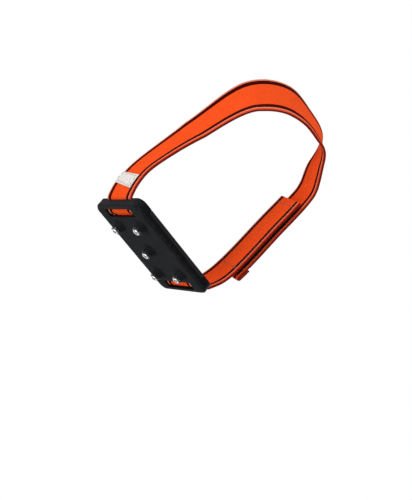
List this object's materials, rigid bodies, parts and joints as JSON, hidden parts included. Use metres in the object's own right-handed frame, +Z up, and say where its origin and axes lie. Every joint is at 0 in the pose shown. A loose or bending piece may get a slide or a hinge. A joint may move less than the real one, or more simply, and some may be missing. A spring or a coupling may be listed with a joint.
{
  "type": "mid-sole ice cleat",
  "caption": "Studded rubber pad worn under the arch of a boot, held by an elastic strap that loops over the instep and closes with hook and loop.",
  "frame": {"origin": "middle of the pad's upper face, which rests on the boot's sole", "axes": "+X across the sole towards the label's side, +Y towards the toe, +Z up from the pad to the strap's crest"},
  "size_m": [0.1159, 0.0845, 0.1718],
  "materials": {
    "pad_rubber": "matt moulded rubber with a fine grain",
    "backing_rubber": "matt rubber sheet",
    "stud_steel": "bright turned steel",
    "collar_steel": "dark knurled steel",
    "carbide": "ground carbide",
    "webbing": "woven elastic webbing, orange with dark stripes",
    "label_tape": "plain woven label",
    "label_thread": "polyester thread",
    "loop_pile": "brushed loop pile",
    "patch_thread": "polyester thread",
    "hook_tape": "moulded hook tape",
    "strap_thread": "polyester thread"
  },
  "bodies": {
    "pad": {"sole_pad": "pad_rubber", "pad_backing": "backing_rubber", "stud_jacket_centre": "stud_steel", "stud_collar_centre": "collar_steel", "carbide_pin_centre": "carbide", "stud_jacket_near_heel": "stud_steel", "stud_collar_near_heel": "collar_steel", "carbide_pin_near_heel": "carbide", "stud_jacket_near_toe": "stud_steel", "stud_collar_near_toe": "collar_steel", "carbide_pin_near_toe": "carbide", "stud_jacket_far_heel": "stud_steel", "stud_collar_far_heel": "collar_steel", "carbide_pin_far_heel": "carbide", "stud_jacket_far_toe": "stud_steel", "stud_collar_far_toe": "collar_steel", "carbide_pin_far_toe": "carbide", "strap_run": "webbing"},
    "loop": {"strap_over_foot": "webbing", "strap_far_end": "webbing", "strap_label": "label_tape", "label_stitching": "label_thread", "loop_patch": "loop_pile", "loop_patch_stitching": "patch_thread"},
    "flap": {"strap_flap": "webbing", "hook_patch": "hook_tape", "hook_patch_stitching": "strap_thread", "hem_stitching": "strap_thread"}
  },
  "joints": [
    {"name": "strap_lean", "type": "hinge", "parent": "pad", "child": "loop", "pos_m": [0, 0, -0.0005], "axis": [-1, 0, 0], "range_deg": [-55, 40]},
    {"name": "closure_peel", "type": "hinge", "parent": "loop", "child": "flap", "pos_m": [-0.05464, 0.03519, 0.10152], "axis": [0.0492, 0.9468, -0.3179], "range_deg": [0, 110]}
  ]
}
